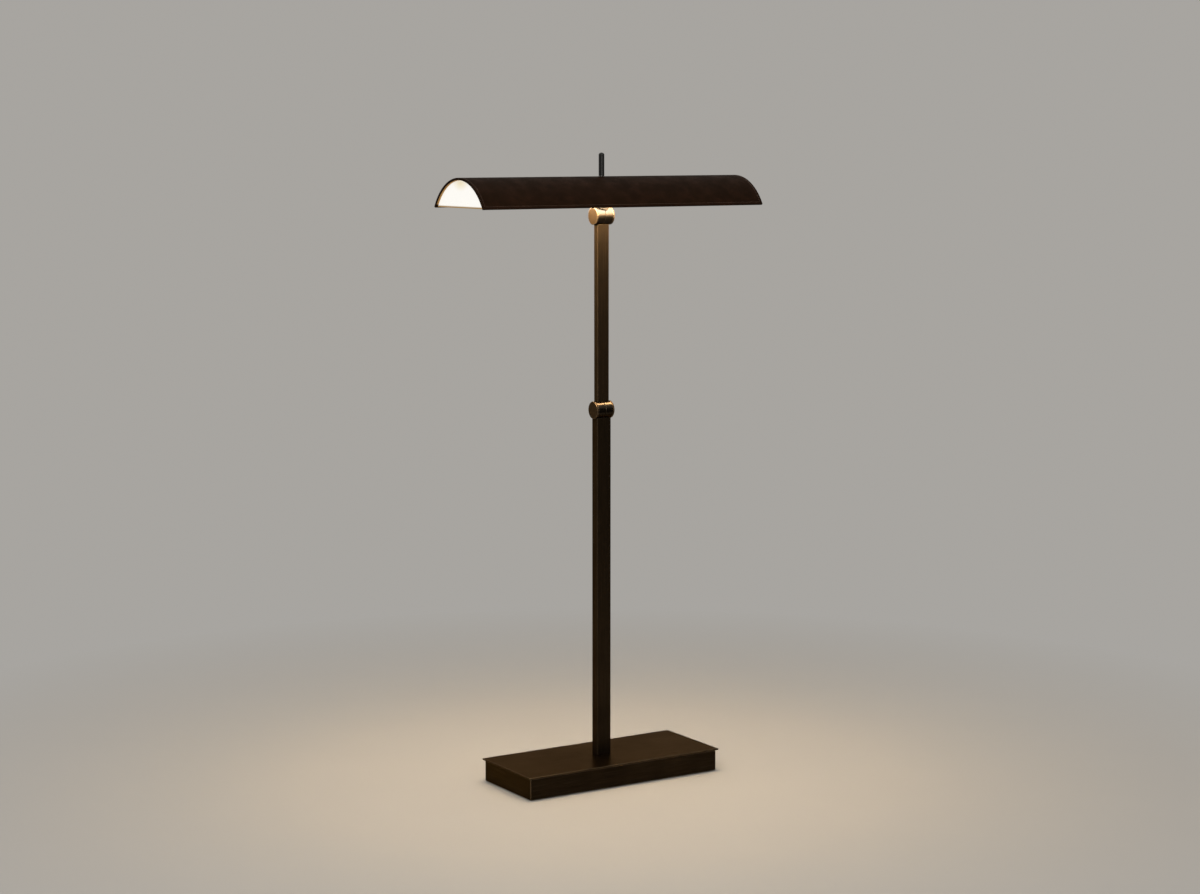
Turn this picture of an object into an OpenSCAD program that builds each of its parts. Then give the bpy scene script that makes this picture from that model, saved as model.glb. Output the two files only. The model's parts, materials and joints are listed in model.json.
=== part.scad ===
// Floor lamp: a weighted box base, a post of two rectangular tubes with split-barrel friction
// knuckles, and a leather-covered trough shade with an opal light tray and a dimmer stick.
// The long side runs along X, the front faces -Y, and the lamp stands on Z = 0.

/* [Base] */
// Length of the top plate
plate_l = 452; // [380:1:540]
// Width of the top plate
plate_w = 189; // [150:1:240]
// Thickness of the top plate
plate_t = 3; // [2:0.5:6]
// Bevel around the upper edge and corners of the top plate
plate_bevel = 0.6; // [0.2:0.1:1.5]
// Overhang of the top plate past the skirt
plate_lip = 4.2; // [2:0.2:8]
// Thickness of the skirt's sheet
skirt_t = 2; // [1:0.2:4]
// Width of the flange folded in along the skirt's upper edge
skirt_flange = 12; // [6:1:20]
// Bevel on the skirt's upright corners
skirt_bevel = 0.8; // [0.2:0.1:1.5]
// Height of the skirt's lower edge above the floor
floor_gap = 2; // [1:0.5:6]
// Thickness of the ballast slab
ballast_t = 18; // [10:1:30]
// Diameter of the ballast's screw bosses
boss_d = 12; // [9:1:18]
// Distance of the bosses from the ballast's ends
boss_inset_x = 60; // [50:1:90]
// Distance of the bosses from the ballast's long sides
boss_inset_y = 14; // [10:1:30]
// Thickness of the bottom cover
cover_t = 1.5; // [1:0.1:3]
// Height of the bottom cover above the skirt's lower edge
cover_recess = 1; // [0.5:0.1:3]
// Diameter of a foot pad
foot_d = 26; // [15:1:34]
// Distance of the foot pads' centres from the cover's edges
foot_inset = 20; // [18:1:28]

/* [Power supply] */
// Length of the power supply
driver_l = 130; // [80:1:150]
// Width of the power supply
driver_w = 42; // [30:1:60]
// Height of the power supply
driver_h = 16; // [14:0.5:24]
// Free height above the power supply
driver_room = 4; // [2:0.5:10]
// Distance of the power supply from the middle of the base
driver_x = 40; // [25:1:50]
// Diameter of the cord hole in the grommet
cord_hole_d = 7; // [5:0.5:9]
// Rubber around the cord hole, where it passes the skirt
grommet_wall = 2; // [1:0.25:3]
// How far the grommet's flanges stand out past its neck
grommet_flange = 2.5; // [1.5:0.25:3]
// Thickness of the grommet's flanges
grommet_flange_t = 2.2; // [1:0.1:3]
// Diameter of the supply lead
wire_d = 4.4; // [3:0.2:6]
// Size of the bend where the supply lead turns up into the post
lead_bend = 3; // [1:0.5:3.5]

/* [Post] */
// Height of the elbow's axis above the top plate
post_rise = 707.5; // [400:0.5:900]
// Width of the lower tube
post_w = 32.5; // [29:0.5:40]
// Depth of the lower tube
post_d = 20; // [16:0.5:26]
// Wall of the lower tube
post_t = 2; // [1.2:0.1:3]
// Distance between the axes of the elbow and the tilt knuckle
arm_reach = 388; // [250:1:600]
// Width of the upper tube
arm_w = 27; // [24:0.5:32]
// Depth of the upper tube
arm_d = 14; // [13:0.5:20]
// Wall of the upper tube
arm_t = 1.5; // [1:0.1:1.8]
// Corner radius of both tubes
tube_r = 1.5; // [0.5:0.1:3]
// Height of the foot block inside the lower tube
foot_block_h = 30; // [20:1:60]
// Diameter of the hollow stud under the post
stud_d = 14; // [12:1:15]
// Length of stud left below its nut
stud_tail = 2; // [0.5:0.5:3]
// Thickness of the stud's nut
stud_nut_h = 8; // [5:0.5:9]
// Width of the stud's nut across its flats
stud_nut_af = 21; // [19:1:26]
// Diameter of the stud's washer
stud_washer_d = 34; // [26:1:50]
// Thickness of the stud's washer
stud_washer_t = 2.5; // [1:0.5:4]
// Diameter of the grub screws
grub_d = 4; // [3:0.5:5]
// How deep a grub screw reaches into the plug behind the tube's wall
grub_bite = 2.2; // [1:0.1:2.6]

/* [Knuckles] */
// Diameter of the barrels
barrel_d = 35; // [32:0.5:44]
// Wall of the barrels
barrel_wall = 4.5; // [3:0.1:5]
// Bevel on the barrels' edges
barrel_bevel = 0.4; // [0.2:0.1:0.8]
// Width of the split line between two halves
seam = 0.8; // [0.4:0.1:2]
// Depth of the split line
seam_depth = 1.6; // [1:0.1:2.5]
// Thickness of the inner web that carries the pivot bolt
web_t = 4; // [2.5:0.1:6]
// Thickness of an end cap
cap_t = 3.5; // [2:0.1:6]
// Bevel on an end cap's outer edge
cap_bevel = 0.7; // [0.3:0.1:1.5]
// Wall of an end cap's spigot
spigot_t = 1.6; // [1:0.1:2.5]
// Length of an end cap's spigot
spigot_l = 2.5; // [1:0.1:4]
// Diameter of the pivot bolt
bolt_d = 8; // [6:0.5:9]
// Diameter of the pivot bolt's head
bolt_head_d = 13; // [11:0.5:15]
// Height of the pivot bolt's head
bolt_head_h = 5; // [3:0.5:7]
// Width of the socket in the pivot bolt's head, across its corners
bolt_socket_d = 6.5; // [4:0.5:8]
// Depth of the socket in the pivot bolt's head
bolt_socket_l = 2.5; // [1:0.1:3]
// Width of the lock nut across its flats
nut_af = 13; // [11:0.5:15]
// Thickness of the lock nut
nut_h = 4; // [3:0.5:6]
// Outer diameter of the disc spring
spring_d = 17; // [13:0.5:18]
// Thickness of the disc spring's metal
spring_t = 0.9; // [0.5:0.1:1.2]
// Height of the disc spring's cone
spring_rise = 0.5; // [0.2:0.1:1]
// Length of the plugs inside the tubes
plug_l = 30; // [20:1:60]
// Length of the plug inside the neck
neck_plug_l = 20; // [10:1:22]
// Outer diameter of the neck
neck_d = 28.5; // [24:0.5:29]
// Wall of the neck
neck_t = 2; // [1:0.1:2.5]

/* [Shade] */
// Length of the shade
shade_l = 650; // [500:1:800]
// Width of the shade across its lower edges
shade_w = 195; // [191:1:240]
// Height of the shade's crown above its lower edges
shade_rise = 57.5; // [54:0.5:80]
// Height of the shade's lower edges above the top of the knuckle's barrels
shade_lift = 3.5; // [1.8:0.1:8]
// Thickness of the leather
leather_t = 1.4; // [0.8:0.1:2.5]
// Thickness of the metal shell
shell_t = 1.6; // [0.8:0.1:2.5]
// How far the leather is turned in behind the shell's edges
turn_in = 12; // [6:1:25]

/* [Light] */
// Width of the light bar
bar_w = 44; // [42:0.5:60]
// Thickness of the light bar
bar_t = 6; // [3:0.5:8]
// Distance of the light bar's ends from the shade's ends
bar_inset = 25; // [16:1:60]
// Width of an LED board
board_w = 16; // [10:0.5:18]
// Thickness of an LED board
board_t = 1.6; // [0.8:0.1:2.4]
// Distance from the end of the light bar to the LED board
board_inset = 6; // [2:0.5:20]
// Width of an LED chip
chip_w = 3.5; // [2:0.1:6]
// Height of an LED chip
chip_h = 0.8; // [0.4:0.1:2]
// Spacing of the LED chips
chip_pitch = 20; // [10:1:40]
// Thickness of the opal tray
tray_t = 3; // [2:0.5:5]
// Distance of the tray's end panels from the shade's ends
tray_recess = 5.5; // [3:0.5:9]
// Height of the tray's floor above the lowest edge of the leather
tray_raise = 1.8; // [1.8:0.1:6]
// Distance of the tray's stand-offs from the light bar's ends
standoff_inset = 150; // [100:1:180]
// Diameter of a stand-off
standoff_d = 6; // [5:0.5:8]
// Distance of the shell's studs from the light bar's ends
shell_stud_inset = 50; // [20:1:80]
// Diameter of the shell's studs
shell_stud_d = 4; // [3:0.5:5]
// Width of the shell studs' nuts across their flats
shell_nut_af = 7; // [6:0.5:8]
// Thickness of the shell studs' nuts
shell_nut_h = 3.2; // [2:0.1:5]
// Distance of the stand-offs and studs from the middle line
fix_y = 16; // [15:0.5:17]
// Diameter of the neck's flange
flange_d = 42; // [40:0.5:48]
// Thickness of the neck's flange
flange_t = 3; // [2:0.5:5]
// Diameter of the circle of neck screws
flange_screws_d = 35; // [34:0.5:36]

/* [Screws] */
// Diameter of the cover screws
cover_screw_d = 5; // [4:0.5:6]
// Length of the cover screws
cover_screw_l = 14; // [8:1:16]
// Diameter of the cover screws' heads
cover_head_d = 9.5; // [8:0.5:12]
// Diameter of the small screws in the head
small_screw_d = 3; // [2:0.5:3.5]
// Diameter of the small screws' heads
small_head_d = 5.6; // [4.6:0.1:6]
// Length of the small screws in the head
small_screw_l = 8; // [7:0.5:8.5]
// Height of a screw's head
screw_head_h = 1.6; // [1:0.1:1.7]
// Depth of the socket in a screw's head
screw_socket_l = 0.8; // [0.4:0.1:0.9]

/* [Dimmer] */
// Diameter of the dimmer stick
stick_d = 11.5; // [8:0.5:14]
// Length of the dimmer stick
stick_l = 46.5; // [30:0.5:80]
// Height of the stick's domed end
stick_dome = 3.6; // [1:0.1:4]
// Depth of the hole in the stick
stick_bore_l = 18; // [10:1:25]
// Diameter of the dimmer's shaft
shaft_d = 6; // [4:0.5:6.5]
// Diameter of the dimmer module
dimmer_d = 17; // [14:0.5:19]
// Height of the dimmer module
dimmer_h = 12; // [8:0.5:14]
// Diameter of the dimmer's threaded bushing
bushing_d = 9; // [8:0.5:10]
// Depth of the shaft inside the dimmer module
shaft_seat = 7; // [3:0.5:7.5]
// Thickness of the bushing's nut
bushing_nut_h = 2; // [1:0.1:2.1]
// Width of the bushing's nut across its flats
bushing_nut_af = 13; // [12:0.5:15]

/* [Clearances] */
// Gap between pieces that fit closely
fit = 0.1; // [0.05:0.05:0.2]
// Radial clearance of the pivots
run_fit = 0.05; // [0.02:0.01:0.1]
// Side clearance of the friction washers and disc springs
rub_gap = 0.02; // [0.01:0.01:0.05]
// Gap between a barrel and the tube end cut to its curve
cope_gap = 0.4; // [0.3:0.1:0.9]
// Gap between the neck and the half of the knuckle that stays still below it
neck_gap = 1.3; // [0.6:0.1:2]
// Gap between a barrel and the plug above it
plug_gap = 1; // [0.6:0.1:2]
// Radial room around a screw or stud in its hole
hole_room = 0.3; // [0.2:0.05:0.6]
// Radial room around the supply lead
wire_room = 0.4; // [0.2:0.1:0.6]
// Space beside the supply lead inside a barrel
chamber_room = 1.1; // [0.8:0.1:2]
// Free length at the end of a bolt pocket
pocket_room = 0.6; // [0.2:0.1:2]
// Gap between the base's inner pieces and the skirt
base_gap = 0.5; // [0.3:0.1:2]
// Gap around the opal tray
tray_gap = 0.5; // [0.3:0.1:1.5]
// Gap between the light bar and the shell
bar_gap = 0.2; // [0.1:0.1:0.6]
// Gap between the dimmer stick and the leather
stick_gap = 0.4; // [0.3:0.1:1]

/* [Hidden] */
$fn = 64;
eps = 0.01;
lead_sides = 10;

// Base, from the floor up
skirt_l = plate_l - 2 * plate_lip;
skirt_w = plate_w - 2 * plate_lip;
inner_l = skirt_l - 2 * skirt_t;
inner_w = skirt_w - 2 * skirt_t;
cover_z = floor_gap + cover_recess;
cover_top = cover_z + cover_t;
cavity_h = driver_h + driver_room;
slab_z = cover_top + cavity_h;
slab_l = inner_l - 2 * base_gap;
slab_w = inner_w - 2 * base_gap;
flange_z = slab_z + ballast_t;
plate_z = flange_z + skirt_t;
base_h = plate_z + plate_t;
boss_x = slab_l / 2 - boss_inset_x;
boss_y = slab_w / 2 - boss_inset_y;
foot_x = slab_l / 2 - foot_inset;
foot_y = slab_w / 2 - foot_inset;
cord_z = cover_top + cavity_h / 2;
grommet_r = cord_hole_d / 2 + grommet_wall;

// Post
stud_low = slab_z - stud_washer_t - stud_nut_h - stud_tail;
elbow_z = base_h + post_rise;
tilt_z = elbow_z + arm_reach;
lead_z = cover_top + wire_d / 2 + wire_room;
wire_hole_r = wire_d / 2 + wire_room;

// Knuckle, along its own axis from the split line outwards
barrel_r = barrel_d / 2;
chamber_r = barrel_r - barrel_wall;
spring_h = spring_t + spring_rise;
pocket_l = max(bolt_head_h, rub_gap + spring_h + nut_h) + pocket_room;
half_x = seam / 2;
web_in = half_x + wire_d + 2 * chamber_room;
web_out = web_in + web_t;
cap_x = web_out + pocket_l;
barrel_end = cap_x + cap_t;
wire_x = (half_x + web_in) / 2;
wire_end = bolt_d / 2 + chamber_room;
plug_z = barrel_r + plug_gap;
plug_mid = plug_z + plug_l / 2;

// Shade, as arcs about one centre line
shade_r = (pow(shade_w / 2, 2) + pow(shade_rise, 2)) / (2 * shade_rise);
shade_low = tilt_z + barrel_r + shade_lift;
shade_c = shade_low + shade_rise - shade_r;
shade_top = shade_low + shade_rise;
shade_angle = asin(shade_w / 2 / shade_r);
shell_out_r = shade_r - leather_t - fit;
shell_in_r = shell_out_r - shell_t;
lining_r = shell_in_r - fit - leather_t;
leather_low = shade_c + lining_r * cos(shade_angle);
edge_angle = arc_angle(leather_t, shell_out_r);
fit_angle = arc_angle(fit, shell_out_r);
turn_angle = arc_angle(turn_in, shell_in_r);

// Head
bar_top = shade_c + sqrt(pow(shell_in_r, 2) - pow(bar_w / 2, 2)) - bar_gap;
bar_low = bar_top - bar_t;
bar_l = shade_l - 2 * bar_inset;
neck_r = neck_d / 2;
tray_z = leather_low + tray_raise;
tray_r = lining_r - tray_gap;
tray_l = shade_l - 2 * tray_recess;
standoff_x = bar_l / 2 - standoff_inset;
shell_stud_x = bar_l / 2 - shell_stud_inset;
shell_stud_top = shade_c + sqrt(pow(shell_in_r, 2) - pow(fix_y + shell_stud_d / 2, 2)) - fit;
board_x = flange_d / 2 + board_inset;
board_l = bar_l / 2 - board_inset - board_x;
chips = floor((board_l - chip_w) / chip_pitch);
bushing_top = bar_top + bushing_nut_h;
stick_z = shade_top + stick_gap;
shaft_hole_r = shaft_d / 2 + hole_room;

bronze = [0.24, 0.17, 0.11];
brass = [0.55, 0.40, 0.20];
steel = [0.55, 0.56, 0.58];
iron = [0.22, 0.22, 0.23];
leather_brown = [0.17, 0.10, 0.07];
opal = [0.97, 0.96, 0.92];
black = [0.03, 0.03, 0.03];

// Angle that an arc of a given length covers
function arc_angle(length, radius) = length / radius * 180 / PI;

// Rectangle with rounded corners
module round_rect(w, d, r) {
    square([w - 2 * r, d], center = true);
    square([w, d - 2 * r], center = true);
    for (x = [-1, 1], y = [-1, 1])
        translate([x * (w / 2 - r), y * (d / 2 - r)])
            circle(r);
}

// Rectangle with bevelled corners
module bevel_rect(w, d, b) {
    polygon([
        [-w / 2 + b, -d / 2], [w / 2 - b, -d / 2], [w / 2, -d / 2 + b], [w / 2, d / 2 - b],
        [w / 2 - b, d / 2], [-w / 2 + b, d / 2], [-w / 2, d / 2 - b], [-w / 2, -d / 2 + b]
    ]);
}

// Side view of a plate with its upper edges bevelled
module bevel_profile(w, t, b) {
    polygon([[-w / 2, 0], [w / 2, 0], [w / 2, t - b], [w / 2 - b, t], [-w / 2 + b, t], [-w / 2, t - b]]);
}

// Plate on z = 0 with bevelled corners and upper edges
module bevel_plate(l, w, t, b) {
    intersection() {
        linear_extrude(t) bevel_rect(l, w, b);
        rotate([90, 0, 0]) linear_extrude(w, center = true) bevel_profile(l, t, b);
        along_x(l) bevel_profile(w, t, b);
    }
}

// Flat outline stretched along X, with its own x along Y and its own y along Z
module along_x(length) {
    rotate([90, 0, 90]) linear_extrude(length, center = true) children();
}

// Outline of radius and height turned about the X axis
module turned_x(points) {
    rotate([0, 90, 0]) rotate_extrude() polygon(points);
}

// Round bar along X from one place to another
module rod_x(from, to, r) {
    translate([from, 0, 0]) rotate([0, 90, 0]) cylinder(h = to - from, r = r);
}

// Round bar along Y with its outer end at a given place
module rod_y(outer, length, r) {
    translate([0, outer - length, 0]) rotate([-90, 0, 0]) cylinder(h = length, r = r);
}

// Copies at the four corners of a rectangle
module corners(x, y) {
    for (i = [-1, 1], j = [-1, 1])
        translate([i * x, j * y, 0]) children();
}

// Hexagonal nut on z = 0
module hex_nut(af, h, bore_r) {
    difference() {
        cylinder(h = h, d = af / cos(30), $fn = 6);
        translate([0, 0, -eps]) cylinder(h = h + 2 * eps, r = bore_r);
    }
}

// Flat ring on z = 0
module ring(outer_r, inner_r, h) {
    difference() {
        cylinder(h = h, r = outer_r);
        translate([0, 0, -eps]) cylinder(h = h + 2 * eps, r = inner_r);
    }
}

// Low-head screw that points up from the underside of a face at z = 0, with a hexagonal socket
module screw_up(d, l, head_d) {
    cylinder(h = l, d = d);
    difference() {
        translate([0, 0, -screw_head_h]) cylinder(h = screw_head_h, d = head_d);
        translate([0, 0, -screw_head_h - eps]) cylinder(h = screw_socket_l + eps, d = d, $fn = 6);
    }
}

// Direction in which a lead leaves and enters its points, as angles from +X towards +Z
function heading(points, i) = atan2(points[i + 1].z - points[i].z, points[i + 1].x - points[i].x);
function mitre(points, i) =
    let (
        before = heading(points, max(i - 1, 0)),
        after = heading(points, min(i, len(points) - 2))
    )
    [(before + after) / 2, (after - before) / 2];

// Lead in the plane y = 0 through a list of points, with mitred bends
module lead(points) {
    r = wire_d / 2;
    count = len(points);
    rings = [
        for (i = [0 : count - 1], k = [0 : lead_sides - 1])
            let (m = mitre(points, i), a = 360 * k / lead_sides, out = r * sin(a) / cos(m[1]))
            points[i] + [-out * sin(m[0]), r * cos(a), out * cos(m[0])]
    ];
    sides = [
        for (i = [0 : count - 2], k = [0 : lead_sides - 1])
            let (a = i * lead_sides + k, b = i * lead_sides + (k + 1) % lead_sides)
            [a, b, b + lead_sides, a + lead_sides]
    ];
    first = [for (k = [lead_sides - 1 : -1 : 0]) k];
    final = [for (k = [0 : lead_sides - 1]) (count - 1) * lead_sides + k];
    polyhedron(rings, concat(sides, [first, final]));
}

// Rectangular tube that stands on z = 0
module post_tube(w, d, wall, h) {
    linear_extrude(h) difference() {
        round_rect(w, d, tube_r);
        square([w - 2 * wall, d - 2 * wall], center = true);
    }
}

// Space that a tube's end leaves around a barrel
module cope() {
    rod_x(-post_w, post_w, barrel_r + cope_gap);
}

// Outlines of the plugs that fill the tubes
module post_plug_outline() {
    square([post_w - 2 * (post_t + fit), post_d - 2 * (post_t + fit)], center = true);
}

module arm_plug_outline() {
    square([arm_w - 2 * (arm_t + fit), arm_d - 2 * (arm_t + fit)], center = true);
}

module neck_plug_outline() {
    circle(neck_r - neck_t - fit);
}

// Grub screw and its hole, in the rear wall of a tube of a given depth
module grub(d, wall) {
    rod_y(d / 2, wall + grub_bite, grub_d / 2);
}

module grub_hole(d, wall) {
    rod_y(d / 2 + eps, wall + grub_bite + fit, grub_d / 2 + fit);
}

// Upper half of a knuckle, x > 0, with a plug upwards; the outline of the plug is its child
module knuckle_half(bolt_room, length) {
    difference() {
        union() {
            turned_x([
                [0, half_x], [barrel_r - barrel_bevel, half_x], [barrel_r, half_x + barrel_bevel],
                [barrel_r, cap_x - barrel_bevel], [barrel_r - barrel_bevel, cap_x], [0, cap_x]
            ]);
            translate([0, 0, plug_z]) linear_extrude(length) children();
            linear_extrude(plug_z) intersection() {
                children();
                translate([half_x, -barrel_r]) square([web_out - half_x, barrel_d]);
            }
        }
        rod_x(half_x - eps, web_in, chamber_r);
        rod_x(web_in - eps, web_out + eps, bolt_d / 2 + bolt_room);
        rod_x(web_out, cap_x + eps, chamber_r);
        translate([wire_x, 0, 0]) cylinder(h = plug_z + length + eps, r = wire_hole_r);
    }
}

// End cap of the upper half, with a ring spigot in the bolt pocket
module knuckle_cap() {
    turned_x([
        [0, cap_x], [barrel_r - barrel_bevel, cap_x], [barrel_r, cap_x + barrel_bevel],
        [barrel_r, barrel_end - cap_bevel], [barrel_r - cap_bevel, barrel_end], [0, barrel_end]
    ]);
    translate([cap_x - spigot_l, 0, 0]) rotate([0, 90, 0])
        ring(chamber_r - fit, chamber_r - fit - spigot_t, spigot_l + eps);
}

// Pivot bolt, with its head in the lower half's pocket
module pivot_bolt() {
    difference() {
        union() {
            rod_x(-web_out - bolt_head_h, -web_out, bolt_head_d / 2);
            rod_x(-web_out - eps, web_out + rub_gap + spring_h + nut_h, bolt_d / 2);
        }
        translate([-web_out - bolt_head_h - eps, 0, 0]) rotate([0, 90, 0])
            cylinder(h = bolt_socket_l, d = bolt_socket_d, $fn = 6);
    }
}

module lock_nut() {
    translate([web_out + rub_gap + spring_h, 0, 0]) rotate([0, 90, 0])
        hex_nut(nut_af, nut_h, bolt_d / 2 + run_fit);
}

// Coned washer that presses the halves together
module disc_spring() {
    inner_r = bolt_d / 2 + fit;
    x = web_out + rub_gap;
    turned_x([
        [inner_r, x + spring_rise], [spring_d / 2, x],
        [spring_d / 2, x + spring_t], [inner_r, x + spring_h]
    ]);
}

module friction_washer() {
    translate([-half_x, 0, 0]) rotate([0, 90, 0])
        ring(barrel_r - seam_depth, chamber_r + fit, seam - rub_gap);
}

// Turns an upper half into a lower one
module as_lower() {
    rotate([0, 180, 0]) children();
}

module at_elbow() {
    translate([0, 0, elbow_z]) children();
}

module at_tilt() {
    translate([0, 0, tilt_z]) children();
}

// Band between two radii about the shade's centre line
module arc_band(outer_r, inner_r, angle, length) {
    far = 2 * outer_r;
    translate([0, 0, shade_c]) along_x(length) intersection() {
        difference() {
            circle(outer_r, $fn = 128);
            circle(inner_r, $fn = 128);
        }
        polygon([
            [0, 0], [far * sin(angle), far * cos(angle)], [far * sin(angle), far],
            [-far * sin(angle), far], [-far * sin(angle), far * cos(angle)]
        ]);
    }
}

// Solid below an arc about the shade's centre line and above a level
module arc_segment(r, level, length) {
    translate([0, 0, shade_c]) along_x(length) intersection() {
        circle(r, $fn = 128);
        translate([-r, level - shade_c]) square([2 * r, 2 * r]);
    }
}

module base_top_plate() {
    color(bronze) difference() {
        translate([0, 0, plate_z]) bevel_plate(plate_l, plate_w, plate_t, plate_bevel);
        translate([0, 0, plate_z - eps]) cylinder(h = plate_t + 2 * eps, r = stud_d / 2 + hole_room);
    }
}

module base_skirt() {
    color(bronze) difference() {
        translate([0, 0, floor_gap]) linear_extrude(plate_z - floor_gap)
            bevel_rect(skirt_l, skirt_w, skirt_bevel);
        translate([-inner_l / 2, -inner_w / 2, floor_gap - eps])
            cube([inner_l, inner_w, flange_z - floor_gap + eps]);
        translate([-inner_l / 2 + skirt_flange, -inner_w / 2 + skirt_flange, flange_z - eps])
            cube([inner_l - 2 * skirt_flange, inner_w - 2 * skirt_flange, skirt_t + 2 * eps]);
        translate([0, 0, cord_z]) rod_y(skirt_w / 2 + eps, skirt_t + 2 * eps, grommet_r + fit);
    }
}

module base_ballast() {
    land_l = inner_l - 2 * (skirt_flange + base_gap);
    land_w = inner_w - 2 * (skirt_flange + base_gap);
    color(iron) difference() {
        union() {
            translate([-slab_l / 2, -slab_w / 2, slab_z]) cube([slab_l, slab_w, ballast_t]);
            translate([-land_l / 2, -land_w / 2, flange_z - eps]) cube([land_l, land_w, skirt_t + eps]);
            corners(boss_x, boss_y)
                translate([0, 0, cover_top]) cylinder(h = cavity_h + eps, d = boss_d);
        }
        translate([0, 0, slab_z - eps]) cylinder(h = plate_z - slab_z + 2 * eps, r = stud_d / 2 + hole_room);
        corners(boss_x, boss_y)
            translate([0, 0, cover_top - eps]) cylinder(h = cover_screw_l, r = cover_screw_d / 2 + fit);
    }
}

module base_bottom_cover() {
    color(iron) difference() {
        translate([-slab_l / 2, -slab_w / 2, cover_z]) cube([slab_l, slab_w, cover_t]);
        corners(boss_x, boss_y) translate([0, 0, cover_z - eps])
            cylinder(h = cover_t + 2 * eps, r = cover_screw_d / 2 + hole_room);
    }
}

module base_foot_pads() {
    color(black) corners(foot_x, foot_y) cylinder(h = cover_z, d = foot_d);
}

module base_cover_screws() {
    color(steel) corners(boss_x, boss_y) translate([0, 0, cover_z])
        screw_up(cover_screw_d, cover_screw_l, cover_head_d);
}

module cord_grommet() {
    color(black) translate([0, 0, cord_z]) difference() {
        union() {
            rod_y(skirt_w / 2, skirt_t, grommet_r);
            rod_y(skirt_w / 2 + grommet_flange_t, grommet_flange_t, grommet_r + grommet_flange);
            rod_y(skirt_w / 2 - skirt_t, grommet_flange_t, grommet_r + grommet_flange);
        }
        rod_y(skirt_w / 2 + grommet_flange_t + eps, skirt_t + 2 * (grommet_flange_t + eps), cord_hole_d / 2);
    }
}

module power_supply() {
    color(opal) translate([-driver_x - driver_l / 2, 0, cover_top])
        bevel_plate(driver_l, driver_w, driver_h, plate_bevel);
}

module post_foot_block() {
    color(steel) difference() {
        union() {
            translate([0, 0, base_h]) linear_extrude(foot_block_h) post_plug_outline();
            translate([0, 0, stud_low]) cylinder(h = base_h - stud_low + eps, d = stud_d);
        }
        translate([0, 0, stud_low - eps])
            cylinder(h = base_h + foot_block_h - stud_low + 2 * eps, r = wire_hole_r);
        translate([0, 0, base_h + foot_block_h / 2]) grub_hole(post_d, post_t);
    }
}

module post_washer() {
    color(steel) translate([0, 0, slab_z - stud_washer_t])
        ring(stud_washer_d / 2, stud_d / 2 + hole_room, stud_washer_t);
}

module post_nut() {
    color(steel) translate([0, 0, slab_z - stud_washer_t - stud_nut_h])
        hex_nut(stud_nut_af, stud_nut_h, stud_d / 2 + fit);
}

module lower_post_tube() {
    color(bronze) difference() {
        translate([0, 0, base_h]) post_tube(post_w, post_d, post_t, post_rise);
        at_elbow() cope();
        translate([0, 0, base_h + foot_block_h / 2]) grub_hole(post_d, post_t);
        translate([0, 0, elbow_z - plug_mid]) grub_hole(post_d, post_t);
    }
}

module post_grub_screws() {
    color(black) {
        translate([0, 0, base_h + foot_block_h / 2]) grub(post_d, post_t);
        translate([0, 0, elbow_z - plug_mid]) grub(post_d, post_t);
    }
}

module post_lead() {
    rise = base_h + foot_block_h + plug_l;
    color(black) lead([
        [-driver_x, 0, lead_z], [-lead_bend, 0, lead_z], [0, 0, lead_z + lead_bend], [0, 0, rise],
        [-wire_x, 0, rise + plug_l], [-wire_x, 0, elbow_z - wire_end]
    ]);
}

module elbow_lower_half() {
    color(bronze) difference() {
        at_elbow() as_lower() knuckle_half(run_fit, plug_l) post_plug_outline();
        translate([0, 0, elbow_z - plug_mid]) grub_hole(post_d, post_t);
    }
}

module elbow_lower_cap() {
    color(bronze) at_elbow() as_lower() knuckle_cap();
}

module elbow_pivot_bolt() {
    color(steel) at_elbow() pivot_bolt();
}

module elbow_lock_nut() {
    color(steel) at_elbow() lock_nut();
}

module elbow_disc_spring() {
    color(steel) at_elbow() disc_spring();
}

module elbow_friction_washer() {
    color(black) at_elbow() friction_washer();
}

module elbow_upper_half() {
    color(bronze) difference() {
        at_elbow() knuckle_half(run_fit, plug_l) arm_plug_outline();
        translate([0, 0, elbow_z + plug_mid]) grub_hole(arm_d, arm_t);
    }
}

module elbow_upper_cap() {
    color(bronze) at_elbow() knuckle_cap();
}

module upper_post_tube() {
    color(bronze) difference() {
        at_elbow() post_tube(arm_w, arm_d, arm_t, arm_reach);
        at_elbow() cope();
        at_tilt() cope();
        translate([0, 0, elbow_z + plug_mid]) grub_hole(arm_d, arm_t);
        translate([0, 0, tilt_z - plug_mid]) grub_hole(arm_d, arm_t);
    }
}

module arm_grub_screws() {
    color(black) {
        translate([0, 0, elbow_z + plug_mid]) grub(arm_d, arm_t);
        translate([0, 0, tilt_z - plug_mid]) grub(arm_d, arm_t);
    }
}

module arm_lead() {
    middle = elbow_z + arm_reach / 2;
    color(black) lead([
        [wire_x, 0, elbow_z + wire_end], [wire_x, 0, middle - plug_l / 2],
        [-wire_x, 0, middle + plug_l / 2], [-wire_x, 0, tilt_z - wire_end]
    ]);
}

module tilt_lower_half() {
    color(brass) difference() {
        at_tilt() as_lower() knuckle_half(run_fit, plug_l) arm_plug_outline();
        translate([0, 0, tilt_z - plug_mid]) grub_hole(arm_d, arm_t);
    }
}

module tilt_lower_cap() {
    color(brass) at_tilt() as_lower() knuckle_cap();
}

module tilt_pivot_bolt() {
    color(steel) at_tilt() pivot_bolt();
}

module tilt_lock_nut() {
    color(steel) at_tilt() lock_nut();
}

module tilt_disc_spring() {
    color(steel) at_tilt() disc_spring();
}

module tilt_friction_washer() {
    color(black) at_tilt() friction_washer();
}

module tilt_upper_half() {
    color(brass) at_tilt() knuckle_half(run_fit, neck_plug_l) neck_plug_outline();
}

module tilt_upper_cap() {
    color(brass) at_tilt() knuckle_cap();
}

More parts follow.
